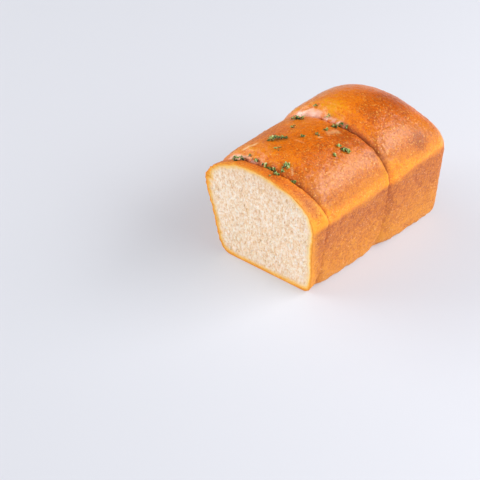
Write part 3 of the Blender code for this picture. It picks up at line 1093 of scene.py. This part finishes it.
def leafBit(name, lobes, notch, width, curl, seed):
    # a scrap of curly leaf, one unit long
    mesh = bmesh.new()
    bmesh.ops.create_circle(mesh, cap_ends=True, cap_tris=True, segments=14, radius=0.5)
    for vert in mesh.verts:
        angle = math.atan2(vert.co.y, vert.co.x)
        reach = vert.co.xy.length
        frill = noise.noise(Vector((math.cos(angle), math.sin(angle), seed)) * 1.7)
        size = reach * (1.0 - notch * (0.5 - 0.5 * math.cos(lobes * angle)) + 0.3 * frill)
        x = size * math.cos(angle)
        y = size * math.sin(angle) * width
        ruffle = 0.1 * math.sin(3.0 * angle + seed) * reach * 2.0
        vert.co = Vector((x, y, curl * (x * x - 0.6 * abs(y)) + ruffle))
    bmesh.ops.solidify(mesh, geom=mesh.faces[:], thickness=parsleyLook["thickness"])
    bmesh.ops.recalc_face_normals(mesh, faces=mesh.faces)
    data = bpy.data.meshes.new(name)
    mesh.to_mesh(data)
    mesh.free()
    return data


def makeParsley(crust, materials):
    look = parsleyLook
    shift = Vector(loafShape["placeInFrame"])
    shapes = [
        leafBit("broadBit", 3, 0.45, 0.75, 0.9, 1.0),
        leafBit("longBit", 2, 0.35, 0.5, 0.7, 2.0),
        leafBit("forkedBit", 4, 0.6, 0.7, -0.8, 3.0),
        leafBit("curledBit", 3, 0.55, 0.55, 1.5, 4.0),
    ]
    draw = random.Random(look["seed"])
    skin = BVHTree.FromObject(crust, bpy.context.evaluated_depsgraph_get())
    mesh = bmesh.new()
    toneLayer = mesh.verts.layers.float.new("tone")
    for across, along, count, spread in look["clumps"]:
        inCrease = abs(along - creaseLine(loafShape["creases"][1], across)) < look["creaseReach"]
        turn = look["creaseTurn"] if inCrease else look["heapTurn"]
        width = look["creaseWidth"] if inCrease else look["heapWidth"]
        many = look["bigHeap"][1] if count >= look["bigHeap"][0] else 1.0
        for _ in range(max(2, round(count * look["bitsPerFlake"] * many))):
            angle = draw.uniform(0.0, math.tau)
            away = (spread + look["spreadMore"]) * draw.random() ** 0.7
            side = Vector((away * math.cos(angle), away * width * math.sin(angle), 0.0))
            above = Vector((across, along, 0.2)) + Matrix.Rotation(turn, 3, "Z") @ side + shift
            spot, facing, _, _ = skin.ray_cast(above, Vector((0.0, 0.0, -1.0)))
            length = mix(*look["length"], draw.random() ** 1.6)
            lie = facing.to_track_quat("Z", "Y").to_matrix().to_4x4()
            lie = lie @ Matrix.Rotation(draw.uniform(0.0, math.tau), 4, "Z")
            lie = lie @ Matrix.Rotation(draw.uniform(-look["tilt"], look["tilt"]), 4, "X")
            heap = draw.random()
            least, each = look["liftShare"]
            spot = spot + facing * mix(*look["lift"], heap) * (each * count + least) - shift
            first = len(mesh.verts)
            mesh.from_mesh(draw.choice(shapes))
            mesh.verts.ensure_lookup_table()
            added = mesh.verts[first:]
            place = Matrix.Translation(spot) @ lie @ Matrix.Scale(length, 4)
            bmesh.ops.transform(mesh, matrix=place, verts=added)
            tone = mix(*look["tone"], draw.random()) - look["lowShade"] * (1.0 - heap)
            for vert in added:
                height = (vert.co - spot).dot(facing) / length
                # painted light and shade: each bit is lighter on its upper side
                vert[toneLayer] = tone + mix(*look["paintedTopLight"], smooth(-0.3, 0.4, height))
    for shape in shapes:
        bpy.data.meshes.remove(shape)
    return addPiece("parsleyLeaves", mesh, materials, math.radians(70.0))


parsleyColours = (
    (0.0, (0.012, 0.034, 0.01)),
    (0.35, (0.085, 0.165, 0.028)),
    (0.65, (0.3, 0.42, 0.085)),
    (1.0, (0.7, 0.78, 0.38)),
)


def parsleyMaterial():
    paint = Paint(bpy.data.materials.new("choppedParsley"))
    tone = paint.attribute("tone")
    veins = paint.noise(parsleyLook["veinLength"], 2.0, 0.6)
    colour = paint.ramp(tone + (veins - 0.5) * 0.3, parsleyColours)
    return paint.finish(Base_Color=colour, Roughness=0.45, bumpHeight=veins, bumpDepth=0.0001)


makeParsley(crustShell, [parsleyMaterial()])

studio = {
    "cameraTurn": math.radians(44.2),
    "cameraHeight": math.radians(38.3),
    "cameraPlace": (0.721506, -0.845049, 0.866162),
    "lens": 128.25,
    "sensorWidth": 36.0,
    "floorSize": 6.0,
    "tableColour": (0.464, 0.478, 0.514),
    "tableGlow": 0.26,  # a light table, so that the loaf's shadow stays faint
    "roomColour": (0.95, 0.96, 1.0),
    "roomHorizon": 1.52,
    "roomCeiling": 0.32,
    "ceilingFrom": (0.05, 0.6),
    "darkTowards": (-0.4, 0.87, 0.25),  # the crowns mirror the room's dark end
    "darkSpread": (0.5, 0.88),
    "darkShare": 0.9,
    # towards the light, metres away, width and height in metres, watts, colour
    "lamps": {
        "leftWindow": ((-0.84, -0.36, 0.45), 3.0, (2.6, 1.5), 54.0, (1.0, 0.98, 0.96)),
        "rightWindow": ((0.69, 0.43, 0.65), 1.15, (1.3, 0.6), 15.6, (1.0, 0.97, 0.98)),
        "frontWindow": ((-0.67, -0.72, 0.2), 1.8, (0.5, 0.4), 5.6, (1.0, 0.98, 0.97)),
    },
}


def cameraAxes():
    turn, height = studio["cameraTurn"], studio["cameraHeight"]
    back = Vector((math.sin(turn) * math.cos(height), -math.cos(turn) * math.cos(height), math.sin(height)))
    right = Vector((math.cos(turn), math.sin(turn), 0.0))
    return right, back.cross(right), back


def makeCamera():
    camera = bpy.data.cameras.new("camera")
    camera.lens = studio["lens"]
    camera.sensor_width = studio["sensorWidth"]
    camera.clip_end = studio["floorSize"] * 3.0
    holder = addObject("camera", camera)
    turned = Matrix(cameraAxes()).transposed().to_4x4()
    holder.matrix_world = Matrix.Translation(studio["cameraPlace"]) @ turned
    bpy.context.scene.camera = holder


def makeLamps():
    middle = (cadLow + cadHigh) / 2.0
    for name, (towards, distance, (width, tall), watts, colour) in studio["lamps"].items():
        lamp = bpy.data.lights.new(name, "AREA")
        lamp.shape = "RECTANGLE"
        lamp.size = width
        lamp.size_y = tall
        lamp.energy = watts
        lamp.color = colour
        holder = addObject(name, lamp)
        direction = Vector(towards).normalized()
        holder.location = middle + direction * distance
        holder.rotation_mode = "QUATERNION"
        holder.rotation_quaternion = direction.to_track_quat("Z", "Y")


def makeTable():
    mesh = bmesh.new()
    bmesh.ops.create_grid(mesh, x_segments=1, y_segments=1, size=studio["floorSize"] / 2.0)
    data = bpy.data.meshes.new("table")
    mesh.to_mesh(data)
    mesh.free()
    paint = Paint(bpy.data.materials.new("paleTable"))
    colour = rgb(*studio["tableColour"])
    glow = studio["tableGlow"] / studio["tableColour"][1]
    surface = paint.finish(Base_Color=colour, Roughness=0.8, Emission_Color=colour, Emission_Strength=glow)
    data.materials.append(surface)
    addObject("table", data)


def makeRoom():
    # bright all round, dim above, and dark at the end that the crowns mirror
    world = bpy.data.worlds.new("room")
    paint = Paint(world)
    sight = paint.node("TexCoord", out="Generated")
    height = paint.node("SeparateXYZ", None, {0: sight}, "Z")
    towards = Vector(studio["darkTowards"]).normalized()
    facing = paint.node("VectorMath", {"operation": "DOT_PRODUCT"}, {0: sight, 1: towards}, "Value")
    dark = facing.ease(*studio["darkSpread"]) * studio["darkShare"]
    fall = studio["roomHorizon"] - studio["roomCeiling"]
    strength = (studio["roomHorizon"] - height.ease(*studio["ceilingFrom"]) * fall) * (1.0 - dark)
    background = paint.node("Background", None, {"Color": rgb(*studio["roomColour"]), "Strength": strength})
    paint.node("OutputWorld", None, {"Surface": background})
    bpy.context.scene.world = world
    bpy.context.scene.view_settings.view_transform = "Standard"


makeTable()
makeRoom()
makeLamps()
makeCamera()
print("table, lights and camera made")
